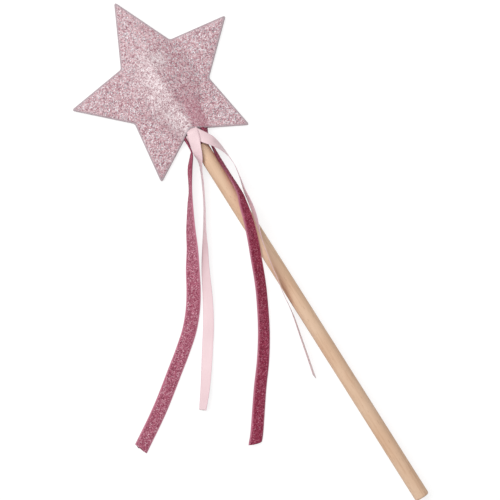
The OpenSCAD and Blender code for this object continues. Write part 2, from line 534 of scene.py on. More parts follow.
@dataclass(frozen=True)
class DowelWood:
    """Bare sanded hardwood with its grain along the stick."""

    name: str = "dowel_wood"
    band_scale: float = 620.0
    hair_scale: float = 3600.0
    pore_scale: float = 3000.0
    drift_scale: float = 26.0
    ring_scale: float = 1500.0
    depth: float = 0.05 * MM
    pale: Colour = srgb(231, 201, 174)
    warm: Colour = srgb(222, 185, 154)
    streak: Colour = srgb(203, 162, 130)
    pore: Colour = srgb(178, 134, 102)

    def make(self) -> Material:
        """Makes the material: long streaks, short pores, and rings on the cut end.

        Returns:
            The finished material.
        """
        shader = Shader.of_material(self.name)
        places = shader.places()
        bands = shader.noise(shader.stretched(places, (1.0, 0.045, 1.0)), self.band_scale, 4.0, 0.6)
        hairs = shader.noise(shader.stretched(places, (1.0, 0.02, 1.0)), self.hair_scale, 2.0, 0.6)
        pores = shader.noise(shader.stretched(places, (1.0, 0.09, 1.0)), self.pore_scale, 1.0)
        dots = shader.between(pores, 0.66, 0.74)
        drift = shader.noise(places, self.drift_scale, 2.0)
        ground = shader.mix(shader.between(drift, 0.3, 0.7), self.pale, self.warm)
        grained = shader.mix(shader.between(bands, 0.48, 0.7) * 0.55, ground, self.streak)
        haired = shader.mix(shader.between(hairs, 0.5, 0.75) * 0.3, grained, self.streak)
        cut = shader.mark("cut")
        rings = shader.noise(shader.stretched(places, (1.0, 0.0, 0.35)), self.ring_scale, 2.0)
        ended = shader.mix(cut * (0.25 + rings * 0.4), haired, self.streak)
        return shader.principled({
            "Base Color": shader.mix(dots * 0.5, ended, self.pore),
            "Roughness": 0.6 + bands * 0.15,
            "Normal": shader.bump(hairs * 0.6 - dots * 0.5, self.depth),
            "Specular IOR Level": 0.35,
        })


@dataclass(frozen=True)
class Matted:
    """Fibres compressed or fluffed together: felt, wadding or set glue."""

    name: str
    light: Colour
    deep: Colour
    clump: float
    depth: float
    gloss: float = 0.0

    def make(self) -> Material:
        """Makes the material: clumps of fibre with a finer fuzz over them.

        Returns:
            The finished material.
        """
        shader = Shader.of_material(self.name)
        places = shader.places()
        clumps = shader.noise(places, 1 / self.clump, 4.0, 0.65)
        fuzz = shader.noise(places, 6 / self.clump, 2.0)
        return shader.principled({
            "Base Color": shader.mix(shader.between(clumps, 0.3, 0.7), self.deep, self.light),
            "Roughness": 0.9 - self.gloss * (0.4 + clumps * 0.3),
            "Normal": shader.bump(clumps * 0.6 + fuzz * 0.4, self.depth),
        })


@dataclass(frozen=True)
class FloorPaper:
    """White sweep paper that shows as white and keeps the soft shadow of what lies on it."""

    name: str = "floor_paper"
    glow: float = 0.8
    seen: Colour = (0.28, 0.28, 0.28, 1.0)
    bounce: Colour = (0.8, 0.8, 0.8, 1.0)

    def make(self) -> Material:
        """Makes the material: what the camera sees glows a little, so that only shadow is grey.

        Returns:
            The finished material.
        """
        shader = Shader.of_material(self.name)
        plain = shader.value("BsdfDiffuse", 0, None, {"Color": self.bounce})
        lit = shader.value("BsdfDiffuse", 0, None, {"Color": self.seen})
        glow = shader.value("Emission", 0, None, {"Color": WHITE, "Strength": self.glow})
        both = shader.value("AddShader", 0, None, {0: lit, 1: glow})
        shader.node("OutputMaterial", None, {"Surface": shader.chosen(plain, both)})
        return shader.owner


def grid_faces(rows: int, columns: int, rows_close: bool, columns_close: bool) -> Array:
    """The quads of a grid of points: each joins a point, the next in its row, and the two below.

    Args:
        rows: Number of rows.
        columns: Number of points in a row.
        rows_close: Whether the last row joins the first.
        columns_close: Whether each row's last point joins its first.

    Returns:
        One row of four point numbers for each quad.
    """
    row = np.arange(rows if rows_close else rows - 1)
    column = np.arange(columns if columns_close else columns - 1)
    i, j = np.meshgrid(row, column, indexing="ij")
    below, right = (i + 1) % rows, (j + 1) % columns
    corners = [i * columns + j, i * columns + right, below * columns + right, below * columns + j]
    return np.stack(corners, axis=-1).reshape(-1, 4)


def capped_faces(rows: int, columns: int) -> list:
    """The faces of a stack of closed rings with a pole at each end.

    The poles are numbered after the last ring, the first ring's pole first.

    Args:
        rows: Number of rings.
        columns: Number of points in a ring.

    Returns:
        Point numbers of each face.
    """
    poles = rows * columns
    ring = np.arange(columns)
    faces = grid_faces(rows, columns, False, True).tolist()
    for pole, rim in ((poles, ring[::-1]), (poles + 1, ring + poles - columns)):
        faces += np.stack([np.full_like(rim, pole), rim, np.roll(rim, -1)], axis=-1).tolist()
    return faces


def piece(name: str, points: Array, faces: list, marks: dict[str, Array]) -> Object:
    """Makes a smooth mesh object at the origin, with its faces outwards.

    Args:
        name: The piece's name.
        points: Places in metres, of any grid shape by 3.
        faces: Point numbers of each face.
        marks: Numbers or vectors that the points carry, by attribute name.

    Returns:
        The new object.
    """
    mesh = bpy.data.meshes.new(name)
    mesh.from_pydata(points.reshape(-1, 3).tolist(), [], faces, shade_flat=False)
    for key, values in marks.items():
        vector = values.shape[-1:] == (3,)
        kind, entry = ("FLOAT_VECTOR", "vector") if vector else ("FLOAT", "value")
        mark = mesh.attributes.new(key, kind, "POINT")
        mark.data.foreach_set(entry, values.astype(np.float32).ravel())
    shell = bmesh.new()
    shell.from_mesh(mesh)
    bmesh.ops.recalc_face_normals(shell, faces=shell.faces)
    shell.to_mesh(mesh)
    shell.free()
    made = bpy.data.objects.new(name, mesh)
    bpy.context.scene.collection.objects.link(made)
    return made


def dress(target: Object, finish: Material) -> None:
    """Gives a piece its material.

    Args:
        target: The piece.
        finish: Its material.
    """
    target.data.materials.clear()
    target.data.materials.append(finish)


def fix(target: Object, finish: Material, node: str) -> None:
    """Dresses a piece, seats it on the wand, where it keeps still, and hides the node that it replaces.

    Args:
        target: The piece.
        finish: Its material.
        node: The node that it replaces.
    """
    dress(target, finish)
    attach(target, WAND)
    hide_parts(node)


@dataclass(frozen=True)
class Line:
    """A route laid out at even steps: places, and the directions across and out of the cloth."""

    place: Array
    across: Array
    out: Array
    run: Array

    @property
    def length(self) -> float:
        """Length along the middle of the ribbon, in metres."""
        return float(self.run[-1])


@dataclass(frozen=True)
class Route:
    """A ribbon's route, given point by point: x, y and z in millimetres and a roll in degrees."""

    points: tuple[tuple[float, float, float, float], ...]
    samples: int = 4000

    def at(self, share: Array) -> Array:
        """Points of the smooth curve through the route.

        Each stretch is a cubic whose end slopes are half the chord between the neighbours.

        Args:
            share: Shares of the route, from 0 to 1, counted in points.

        Returns:
            One row of x, y, z and roll for each share.
        """
        knots = np.array(self.points)
        slopes = np.gradient(knots, axis=0)
        spans = len(knots) - 1
        first = np.minimum((share * spans).astype(int), spans - 1)
        t = (share * spans - first)[:, None]
        b, c = knots[first], knots[first + 1]
        m, k = slopes[first], slopes[first + 1]
        return b + t * (m + t * (3 * (c - b) - 2 * m - k + t * (2 * (b - c) + m + k)))

    def laid(self, step: float) -> Line:
        """Lays the route out at even steps along its length.

        The across direction is the level one turned about the route by the roll, and out is
        square to both.

        Args:
            step: Distance between rings, in metres.

        Returns:
            The laid line.
        """
        shares = np.linspace(0, 1, self.samples)
        dense = self.at(shares)[:, :3] * MM
        run = run_along(dense)
        even = np.linspace(0, run[-1], int(run[-1] / step) + 2)
        found = self.at(np.interp(even, run, shares))
        place = found[:, :3] * MM
        ahead = unit(np.gradient(place, axis=0))
        level = unit(np.cross(ahead, [0, 0, 1]))
        up = np.cross(level, ahead)
        roll = np.radians(found[:, 3:])
        across = np.cos(roll) * level + np.sin(roll) * up
        return Line(place, across, np.cos(roll) * up - np.sin(roll) * level, even)


@dataclass(frozen=True)
class Section:
    """A ribbon's section: places across and out of the cloth, and what shows there."""

    across: Array
    out: Array
    pile: Array
    edge: Array
    side: Array

    def marks(self, run: Array) -> dict[str, Array]:
        """What each point of the section carries when it is repeated along a run.

        Args:
            run: Distance along the cloth of each repeat, as a column, in metres.

        Returns:
            Places on the flat cloth, and the marks pile and edge.
        """
        shape = (len(run), len(self.across))
        flat = [np.broadcast_to(part, shape) for part in (self.across, run, self.side * MM)]
        return {
            "cloth": np.stack(flat, axis=-1),
            "pile": np.broadcast_to(self.pile, shape),
            "edge": np.broadcast_to(self.edge, shape),
        }


class Cloth(Enum):
    """The two ribbons that the wand is tied with."""

    VELVET = "velvet_ribbon"
    SATIN = "satin_ribbon"


@dataclass(frozen=True)
class RibbonStock:
    """A ribbon as it comes off the reel."""

    cloth: Cloth
    width: float
    thick: float
    edge_thick: float
    edge_width: float
    nap: float
    step: float
    top_points: int = 19
    back_points: int = 9

    def section(self) -> Section:
        """The closed section: a pile with round shoulders between thin selvedges, on a flat back.

        Across places follow a sine, so that they crowd at the edges. The face's height rises from
        the selvedge's thickness to the full one by an eased step.

        Returns:
            The section, one value for each point round it.
        """
        half = self.width / 2
        top = half * np.sin(np.linspace(-math.pi / 2, math.pi / 2, self.top_points))
        back = half * np.sin(np.linspace(math.pi / 2, -math.pi / 2, self.back_points))
        rise = eased((half - np.abs(top) - self.edge_width * 0.6) / (self.edge_width * 0.9))
        base = -self.thick / 2
        height = base + self.edge_thick + (self.thick - self.edge_thick) * rise
        near_edge = eased((np.abs(back) - half + self.edge_width) / (self.edge_width * 0.5))
        return Section(
            across=np.concatenate([top, back]),
            out=np.concatenate([height, np.full_like(back, base)]),
            pile=np.concatenate([rise, np.zeros_like(back)]),
            edge=np.concatenate([1 - rise, near_edge]),
            side=np.concatenate([np.ones_like(top), np.zeros_like(back)]),
        )


@dataclass(frozen=True)
class Ribbon:
    """One ribbon from where it leaves the neck to its cut end."""

    name: str
    body: str
    stock: RibbonStock
    route: Route
    stands_for: tuple[str, ...]
    bend_from: Point
    bend_to: Point
    cut_slant: float = 0.0
    cut_ragged: float = 0.1 * MM
    cut_run: float = 12 * MM
    crown: float = 0.0
    crown_run: float = 14 * MM
    # Painted light: the share of the velvet's paler, lit copy of the pile, and the run past the shaded
    # root over which it comes in.
    laid: float = 0.0
    lit_copy_run: tuple[float, float] = (12 * MM, 50 * MM)
    # Run over which the painted shade on the velvet's selvedge fades out from the neck.
    neck_shade_run: float = 30 * MM
    seed: int = 1

    @cached_property
    def line(self) -> Line:
        """The route, laid out at the ribbon's own steps."""
        return self.route.laid(self.stock.step)

    def build(self) -> Object:
        """Carries the section along the route and closes both ends.

        A point is the route's place, plus the section's across and out parts along the line's own
        directions. The last stretch is drawn out by the cut's slant, the pile is roughened by a
        small random height, and the root is crowned over the stick by a square law.

        Returns:
            The ribbon's object.
        """
        line = self.line
        section = self.stock.section()
        rows, columns = len(line.run), len(section.across)
        draw = np.random.default_rng(self.seed)
        nap = draw.normal(0, self.stock.nap, (rows, columns)) * section.pile
        bend = self.crown * (1 - eased(line.run / self.crown_run))
        out = section.out + nap - bend[:, None] * section.across ** 2
        points = line.place[:, None] + line.across[:, None] * section.across[:, None]
        points = points + line.out[:, None] * out[..., None]
        ahead = unit(np.gradient(line.place, axis=0))
        ragged = draw.normal(0, self.cut_ragged, columns)
        reach = section.across / self.stock.width * self.cut_slant + ragged
        near_end = eased((line.run - line.length + self.cut_run) / self.cut_run)
        points = points + ahead[:, None] * (near_end[:, None] * reach)[..., None]
        faces = grid_faces(rows, columns, False, True).tolist()
        last = (rows - 1) * columns
        faces += [list(range(columns))[::-1], list(range(last, last + columns))]
        # Painted light past the root, where the pile is painted paler, and painted shade on the
        # selvedge near the neck.
        start, stop = self.lit_copy_run
        laid = self.laid * eased((line.run - start) / (stop - start))
        worn = eased(line.run / self.neck_shade_run - 0.5)
        marks = section.marks(line.run[:, None])
        marks["laid"] = np.repeat(laid, columns)
        marks["worn"] = np.repeat(worn, columns)
        return piece(self.name, points, faces, marks)

    def hang(self, finish: Material) -> None:
        """Builds the ribbon, dresses it, hides the parts that it replaces and logs how long it is.

        Args:
            finish: The ribbon's material.
        """
        strip = self.build()
        dress(strip, finish)
        line = self.line
        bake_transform(strip)
        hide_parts(*self.stands_for)
        LOG.info("%s: %.0f mm of %s", self.name, line.length / MM, self.stock.cloth.value)


@dataclass(frozen=True)
class NeckTurn:
    """A ribbon's turn round the neck of the stick."""

    name: str
    stock: RibbonStock
    node: str
    inner: float
    middle_y: float
    axis_z: float
    wander: float
    seed: int = 3
    steps: int = 120

    def build(self) -> Object:
        """Carries the ribbon's section round the stick.

        At a turn of the angle, out is the direction from the stick's axis and across is the
        stick's own direction. The middle wanders to and fro by a sine, as a hand-wound turn does.

        Returns:
            The turn's object.
        """
        section = self.stock.section()
        angle = np.linspace(0, 2 * math.pi, self.steps, endpoint=False)[:, None]
        draw = np.random.default_rng(self.seed)
        nap = draw.normal(0, self.stock.nap, (self.steps, len(section.across))) * section.pile
        radius = self.inner + self.stock.thick / 2 + section.out + nap
        along = self.middle_y + section.across + self.wander * np.sin(angle + 0.8)
        height = self.axis_z + radius * np.cos(angle)
        points = np.stack([radius * np.sin(angle), along, height], axis=-1)
        faces = grid_faces(self.steps, len(section.across), True, True).tolist()
        return piece(self.name, points, faces, section.marks(angle * self.inner))

    def wind(self, finish: Material) -> None:
        """Builds the turn, dresses it in its material and seats it on the wand."""
        fix(self.build(), finish, self.node)
        LOG.info("%s: one turn of %s", self.name, self.stock.cloth.value)


@dataclass(frozen=True)
class Dowel:
    """The wooden stick, with its rounded free end and thinner seat."""

    radius: float
    seat_radius: float
    end_y: float
    seat_y: float
    top_y: float
    axis_z: float
    end_round: float
    around: int = 96
    slope_before: float = 0.4 * MM
    slope_after: float = 0.2 * MM
    sanding: float = 0.02 * MM

    def build(self) -> Object:
        """Turns the stick's outline about its axis.

        The outline is a quarter arc at the free end, the long straight side, a short step down to
        the seat, and the square end inside the star. A slow sine of a few hundredths of a
        millimetre leaves the side less than perfectly straight, as sanding does.

        Returns:
            The stick's object.
        """
        arc = np.linspace(0, math.pi / 2, 10)
        core = self.radius - self.end_round
        round_y = self.end_y + self.end_round * (1 - np.cos(arc))
        rounded = np.stack([core + self.end_round * np.sin(arc), round_y])
        face = np.stack([np.linspace(0.3, 0.96, 5) * core, np.full(5, self.end_y)])
        side_y = np.linspace(self.end_y + self.end_round, self.seat_y - self.slope_before, 80)[1:]
        sanded = self.sanding * np.sin(side_y * 95) * np.sin(side_y * 31 + 1)
        side = np.stack([self.radius - np.abs(sanded), side_y])
        step_y = np.array([self.seat_y + self.slope_after, self.top_y])
        step = np.stack([np.full(2, self.seat_radius), step_y])
        inner = np.stack([np.linspace(0.96, 0.3, 4) * self.seat_radius, np.full(4, self.top_y)])
        radius, along = np.concatenate([face, rounded, side, step, inner], axis=1)[..., None]
        turn = np.linspace(0, 2 * math.pi, self.around, endpoint=False)
        x = radius * np.sin(turn)
        z = self.axis_z + radius * np.cos(turn)
        rings = np.stack([x, np.broadcast_to(along, x.shape), z], axis=-1)
        poles = np.array([[0, self.end_y, self.axis_z], [0, self.top_y, self.axis_z]])
        points = np.concatenate([rings.reshape(-1, 3), poles])
        cut = eased((self.end_y + 0.5 * self.end_round - points[:, 1]) / (0.5 * self.end_round))
        return piece("dowel_stick", points, capped_faces(len(rings), self.around), {"cut": cut})

    def seat(self, finish: Material) -> None:
        """Builds the stick, dresses it in its material and seats it on the wand."""
        fix(self.build(), finish, "dowel")
        LOG.info("dowel_stick: %.0f mm long", (self.top_y - self.end_y) / MM)


@dataclass(frozen=True)
class Star:
    """The padded star: two fabric panels on a felt core, with wadding over the stick."""

    middle: Point
    tip_radius: float
    notch_radius: float
    tip_round: float
    notch_round: float
    fabric: float
    core: float
    pad_over: float
    ridge_half: float
    skin_half: float
    neck_half: float
    neck_run: float
    pad_inset: float
    slot_half: float
    dowel: Dowel
    # Shifts of the hand-cut tips and notches off a regular star, in mm, clockwise from the top tip.
    tip_shift: tuple[Shift, ...] = ((2.0, 1.4), (-0.3, -1.1), (-2.3, 0.0), (2.1, -1.2), (0.4, -0.1))
    notch_shift: tuple[Shift, ...] = ((1.5, -0.9), (-1.1, -0.9), (0.0, -1.2), (0.6, -0.6), (0.6, -0.4))
    tip_over: float = 1.8 * MM
    edge_inset: float = 0.15 * MM
    edge_turn: float = 0.2 * MM
    edge_share: float = 0.55
    rim_from: float = 0.95
    rim_run: float = 0.035
    neck_over: float = 2 * MM
    around: int = 360
    front_rings: int = 56
    back_rings: int = 30
    pad_rings: int = 40
    core_rings: int = 24
    grid_step: float = 0.8 * MM
    grid_half: float = 62 * MM
    grid_along: tuple[float, float] = (54 * MM, 182 * MM)
    settle_rounds: int = 3000
    smooth_rounds: int = 10
    smooth_share: float = 0.6
    lift: float = 0.001 * MM
    pad_gap: float = 0.05 * MM
    pad_under: float = 0.15 * MM
    pad_clear: float = 0.1 * MM
    panel_gap: float = 0.02 * MM
    pad_thins: float = 0.9 * MM
    thin_run: float = 20 * MM
    swell: float = 0.5 * MM
    wave: float = 0.1 * MM
    # Where the front panel's painted highlight and painted shade lie: the crest, the spot on the
    # stick's end, and the strength of the shade to the right of the stick.
    crest_from: float = 1.5 * MM
    crest_rise: float = 5.5 * MM
    crest_fall: float = 0.4
    end_highlight_aside: float = 3.5 * MM
    end_highlight_size: float = 7.5 * MM
    painted_shade_most: float = 0.65

    @property
    def rim_z(self) -> float:
        """Height of the felt's top face, where the front panel starts."""
        return self.fabric + self.core

    @property
    def edge_z(self) -> float:
        """Height of the front panel's face at its cut edge."""
        return self.rim_z + self.edge_share * self.fabric

    @property
    def drop(self) -> float:
        """Height of the stick's axis above the front panel's cut edge."""
        return self.dowel.axis_z - self.edge_z

    def beside(self, x: Array, y: Array) -> Array:
        """Distance in the plane from the stick, and from its end point past its end."""
        return np.hypot(x, np.maximum(y - self.dowel.top_y, 0))

    def outline(self, inset: float = 0.0) -> Array:
        """The star's outline, with each corner rounded by an arc, at even steps.

        Tips and notches alternate every 36 degrees, and each is shifted a little, as hand cutting
        leaves it. An arc meets both of a corner's sides at the same distance, and its middle lies
        on their bisector.

        Args:
            inset: How far the outline is drawn in from the cut edge, in metres.

        Returns:
            Places in the plane, of x and y, round the star from its top tip.
        """
        order = np.arange(10)
        tips = order % 2 == 0
        radius = np.where(tips, self.tip_radius + self.tip_over - 2 * inset, self.notch_radius - inset)
        angle = np.radians(36) * order
        shift = np.stack([self.tip_shift, self.notch_shift], axis=1).reshape(10, 2) * MM
        corner = radius[:, None] * np.stack([np.sin(angle), np.cos(angle)], axis=-1) + shift
        u = unit(np.roll(corner, 1, axis=0) - corner)
        v = unit(np.roll(corner, -1, axis=0) - corner)
        half = np.arccos(np.sum(u * v, axis=1)) / 2
        size = np.where(tips, self.tip_round, self.notch_round)
        centre = corner + unit(u + v) * (size / np.sin(half))[:, None]
        start = corner + u * (size / np.tan(half))[:, None] - centre
        end = corner + v * (size / np.tan(half))[:, None] - centre
        turn = (math.pi - 2 * half)[:, None, None]
        t = np.linspace(0, 1, 9)[None, :, None]
        arc = start[:, None] * np.sin(turn * (1 - t)) + end[:, None] * np.sin(turn * t)
        loop = (centre[:, None] + arc / np.sin(turn)).reshape(-1, 2)
        closed = np.concatenate([loop, loop[:1]])
        run = run_along(closed)
        even = np.linspace(0, run[-1], self.around, endpoint=False)
        x, y = np.interp(even, run, closed[:, 0]), np.interp(even, run, closed[:, 1])
        return np.stack([x, y + self.middle[1]], axis=-1)

    def inside(self, x: Array, y: Array) -> Array:
        """Tells which places lie in the star.

        From a place inside, a line to the right crosses the outline an odd number of times.

        Args:
            x: Places across the stick.
            y: Places along the stick.

        Returns:
            True for each place in the star.
        """
        one = self.outline()[:, :, None, None]
        two = np.roll(one, -1, axis=0)
        spans = (one[:, 1] > y) != (two[:, 1] > y)
        rise = np.where(np.abs(two[:, 1] - one[:, 1]) < 1e-12, 1e-12, two[:, 1] - one[:, 1])
        cross = one[:, 0] + (two[:, 0] - one[:, 0]) * (y - one[:, 1]) / rise
        return np.sum(spans & (x < cross), axis=0) % 2 == 1

    def ridge(self, x: Array, y: Array, radius: float, foot: float) -> Array:
        """Height over a stick: a round crest, then a straight slope down to the foot.

        Past the stick's end the ridge closes in a half dome.

        Args:
            x: Places across the stick.
            y: Places along the stick.
            radius: Radius of the crest round the stick's axis.
            foot: Distance of the foot from the stick's axis.

        Returns:
            Heights in metres above the front panel's cut edge.
        """
        away = self.beside(x, y)
        reach = math.hypot(foot, self.drop)
        touch = math.acos(radius / reach) - math.atan2(self.drop, foot)
        shoulder = radius * math.cos(touch)
        crest = self.drop + arch(radius, np.minimum(away, shoulder))
        slope = (foot - away) / math.tan(touch)
        return np.maximum(np.where(away < shoulder, crest, slope), 0)

    @cached_property
    def drape(self) -> tuple[Array, Array, Array]:
        """The front cloth as a taut skin, held down at its cut edge and lifted by the stick.

        On a square grid each point near the stick takes the mean height of its four neighbours,
        plus the wadding's lift, and never sinks below the padded stick, whose padding thins to
        its end. Farther off the cloth is stuck down, and the cut edge with it, but for the neck,
        where it arches over the stick. A few plain averages then round the creases.

        Returns:
            The grid's places across, its places along, and the height at each above the edge.
        """
        across = np.arange(-self.grid_half, self.grid_half, self.grid_step)
        along = np.arange(*self.grid_along, self.grid_step)
        x, y = np.meshgrid(across, along, indexing="ij")
        crest = self.dowel.seat_radius + self.pad_over + self.fabric
        neck = self.ridge(x, y, crest, self.neck_half) * (y < self.middle[1])
        within = self.inside(x, y)
        beside = self.beside(x, y)
        deep = eased((y - self.middle[1] + self.notch_radius) / self.neck_run)
        free = within & (beside < self.neck_half + (self.skin_half - self.neck_half) * deep)
        thinned = crest - self.pad_thins * eased((y - self.dowel.top_y) / self.thin_run + 1)
        stick = np.where(beside < thinned, self.drop + arch(thinned, beside), 0)
        height = np.where(free, self.ridge(x, y, crest, self.ridge_half), neck)
        for _ in range(self.settle_rounds):
            height = np.where(free, np.maximum(self.neighbours(height) + self.lift, stick), neck)
        kept = 1 - self.smooth_share
        for _ in range(self.smooth_rounds):
            mean = self.neighbours(height)
            height = np.where(within, kept * height + self.smooth_share * mean, neck)
        return across, along, height

    @staticmethod
    def neighbours(height: Array) -> Array:
        """The mean of the four heights beside each point of a grid."""
        sides = np.roll(height, 1, axis=0) + np.roll(height, -1, axis=0)
        return (sides + np.roll(height, 1, axis=1) + np.roll(height, -1, axis=1)) / 4

    def lifted(self, plane: Array) -> Array:
        """The drape's height at any places in the plane, blended between its four grid points.

        Args:
            plane: Places of x and y.

        Returns:
            Heights in metres above the cut edge.
        """
        across, along, height = self.drape
        u = (plane[..., 0] - across[0]) / self.grid_step
        v = (plane[..., 1] - along[0]) / self.grid_step
        i, j = u.astype(int), v.astype(int)
        a, b = u - i, v - j
        near = height[i, j] * (1 - a) + height[i + 1, j] * a
        far = height[i, j + 1] * (1 - a) + height[i + 1, j + 1] * a
        return near * (1 - b) + far * b

    @staticmethod
    def shares(count: int) -> Array:
        """Shares of the way out for a number of rings, which crowd towards the edge by a sine."""
        return np.sin(np.linspace(0.02, 1, count) * math.pi / 2) ** 0.9

    def rings(self, count: int, inset: float = 0.0) -> Array:
        """Nested copies of the outline, closer at the edge, the outermost drawn in by the inset."""
        centre = np.array(self.middle[:2])
        return centre + self.shares(count)[:, None, None] * (self.outline(inset) - centre)

    def shell(
        self, name: str, plane: Array, top: Array, bottom: Array, marks: dict[str, Array]
    ) -> Object:
        """A closed piece between two heights over the same rings, with a pole at each middle.

        Args:
            name: The piece's name.
            plane: Rings of places in the plane, innermost first.
            top: Upper height of each place.
            bottom: Lower height of each place.
            marks: Numbers that the upper face's places carry, by attribute name.

        Returns:
            The piece's object.
        """
        upper, lower = at_height(plane, top), at_height(plane, bottom)[::-1]
        grid = np.concatenate([upper, lower])
        poles = np.stack([upper[0].mean(axis=0), lower[-1].mean(axis=0)])
        points = np.concatenate([grid.reshape(-1, 3), poles])
        rim = eased((self.shares(len(plane)) - self.rim_from) / self.rim_run)
        edge = np.repeat(np.concatenate([rim, rim[::-1]]), self.around)
        carried = {"rim": np.concatenate([edge, [0, 0]])}
        for key, values in marks.items():
            poles_carry = [values[0].mean(), 0]
            carried[key] = np.concatenate([values.ravel(), np.zeros(values.size), poles_carry])
        return piece(name, points, capped_faces(len(grid), self.around), carried)

    def front_height(self, plane: Array) -> Array:
        """Height of the front panel's face: the drape or a low swell, with waves of slow sines.

        The swell is the square root of 1 less the sixth power of the share out from the middle.

        Args:
            plane: Rings of places in the plane, outermost last.

        Returns:
            The face's height at each place, in metres.
        """
        x, y = plane[..., 0], plane[..., 1]
        share = self.shares(len(plane))[:, None]
        swell = self.swell * np.sqrt(1 - share ** 6)
        waves = self.wave * np.sin(x * 210 + 1) * np.sin(y * 170) * (1 - share ** 4)
        return self.edge_z + np.maximum(self.lifted(plane), swell) + waves

    def build_front(self) -> Object:
        """The front panel: the draped face over its own thickness, thin at the cut edge.

        Shade is painted on its flakes as a deeper pink where the face falls away to the right of the
        stick. A pale highlight is painted where it is stretched over the stick and in a spot on the
        stick's end.

        Returns:
            The panel's object.
        """
        plane = self.rings(self.front_rings, self.edge_inset)
        top = self.front_height(plane)
        bottom = np.maximum(top - self.fabric, self.rim_z + self.panel_gap)
        aside = np.array([self.grid_step, 0])
        fall = (self.lifted(plane - aside) - self.lifted(plane + aside)) / (2 * self.grid_step)
        # The crest over the stick and a spot on its end take a painted highlight.
        risen = eased((self.lifted(plane) - self.crest_from) / self.crest_rise)
        crest = risen * (1 - eased(fall / self.crest_fall))
        from_end = np.hypot(plane[..., 0] - self.end_highlight_aside, plane[..., 1] - self.dowel.top_y)
        end_highlight = eased(1.25 - from_end / self.end_highlight_size)
        # Painted shade where the face falls away to the right, and a painted highlight on the crest and
        # at the stick's end.
        marks = {
            "parted": self.painted_shade_most * eased((fall - 0.3) / 0.6) * (1 - end_highlight),
            "pressed": np.maximum(crest, 1.3 * end_highlight),
        }
        return self.shell("star_front_cloth", plane, top, bottom, marks)

    def build_back(self) -> Object:
        """The back panel: a flat sheet whose cut edge is a little rounded.

        Returns:
            The panel's object.
        """
        plane = self.rings(self.back_rings, self.edge_inset)
        turned = self.edge_turn * (self.shares(len(plane))[:, None] > 0.9999)
        return self.shell("star_back_cloth", plane, self.fabric - turned, turned, {})

    def build_wadding(self) -> Object:
        """The wadding: it fills the front panel from inside and arches over the stick.

        Returns:
            The wadding's object.
        """
        plane = self.rings(self.pad_rings, self.pad_inset)
        clear = self.dowel.seat_radius + self.pad_clear
        beside = self.beside(plane[..., 0], plane[..., 1])
        over = self.dowel.axis_z + arch(clear, beside)
        under = np.where(beside < clear, over, self.rim_z + self.pad_gap)
        inside = self.front_height(plane) - self.fabric - self.pad_under
        top = np.maximum(inside, under + self.pad_gap)
        return self.shell("star_wadding", plane, top, under, {})

    def build_core(self) -> Object:
        """The felt core: a plate ruled from the slot's edge to the outline, open at the neck.

        The slot runs up one side of the stick, round its end and down the other. The outline runs
        the same way from the neck's right to its left, without the few points in the neck itself,
        and each ruling is a straight blend.

        Returns:
            The core's object.
        """
        loop = self.outline()
        notch = self.middle[1] - self.notch_radius
        start = int(np.argmin(np.hypot(loop[:, 0], loop[:, 1] - notch)))
        outer = np.roll(loop, -start, axis=0)[4:-3]
        outer = outer[::-1] if outer[0, 0] < 0 else outer
        neck = notch - self.neck_over
        straight = self.dowel.top_y - neck
        bend = math.pi * self.slot_half
        run = np.linspace(0, 1, len(outer)) * (2 * straight + bend)
        turn = np.clip((run - straight) / self.slot_half, 0, math.pi)
        rise = np.minimum(run, straight) - np.maximum(run - straight - bend, 0)
        slot_y = neck + rise + self.slot_half * np.sin(turn)
        slot = np.stack([self.slot_half * np.cos(turn), slot_y], axis=-1)
        ruled = np.linspace(0, 1, self.core_rings)[:, None, None]
        plane = slot + ruled * (outer - slot)
        upper, lower = at_height(plane, self.rim_z), at_height(plane, self.fabric)[::-1]
        grid = np.concatenate([upper, lower])
        rows, columns = grid.shape[:2]
        faces = grid_faces(rows, columns, True, False).tolist()
        ends = np.arange(rows) * columns
        faces += [ends.tolist(), (ends + columns - 1)[::-1].tolist()]
        return piece("star_felt", grid, faces, {})

    def make(self, fabric: Material, felt: Material, wadding: Material) -> None:
        """Builds the four layers, dresses them and seats them on the wand.

        Args:
            fabric: Material of both panels.
            felt: Material of the core.
            wadding: Material of the padding.
        """
        layers = (
            (self.build_front(), fabric, "glitter_fabric", "star_front_panel"),
            (self.build_back(), fabric, "glitter_fabric", "star_back_panel"),
            (self.build_core(), felt, "core_felt", "star_core"),
            (self.build_wadding(), wadding, "padding", "star_padding"),
        )
        for layer, finish, slot, node in layers:
            fix(layer, finish, node)
            LOG.info("%s: %d faces", layer.name, len(layer.data.polygons))
        loop = self.outline()


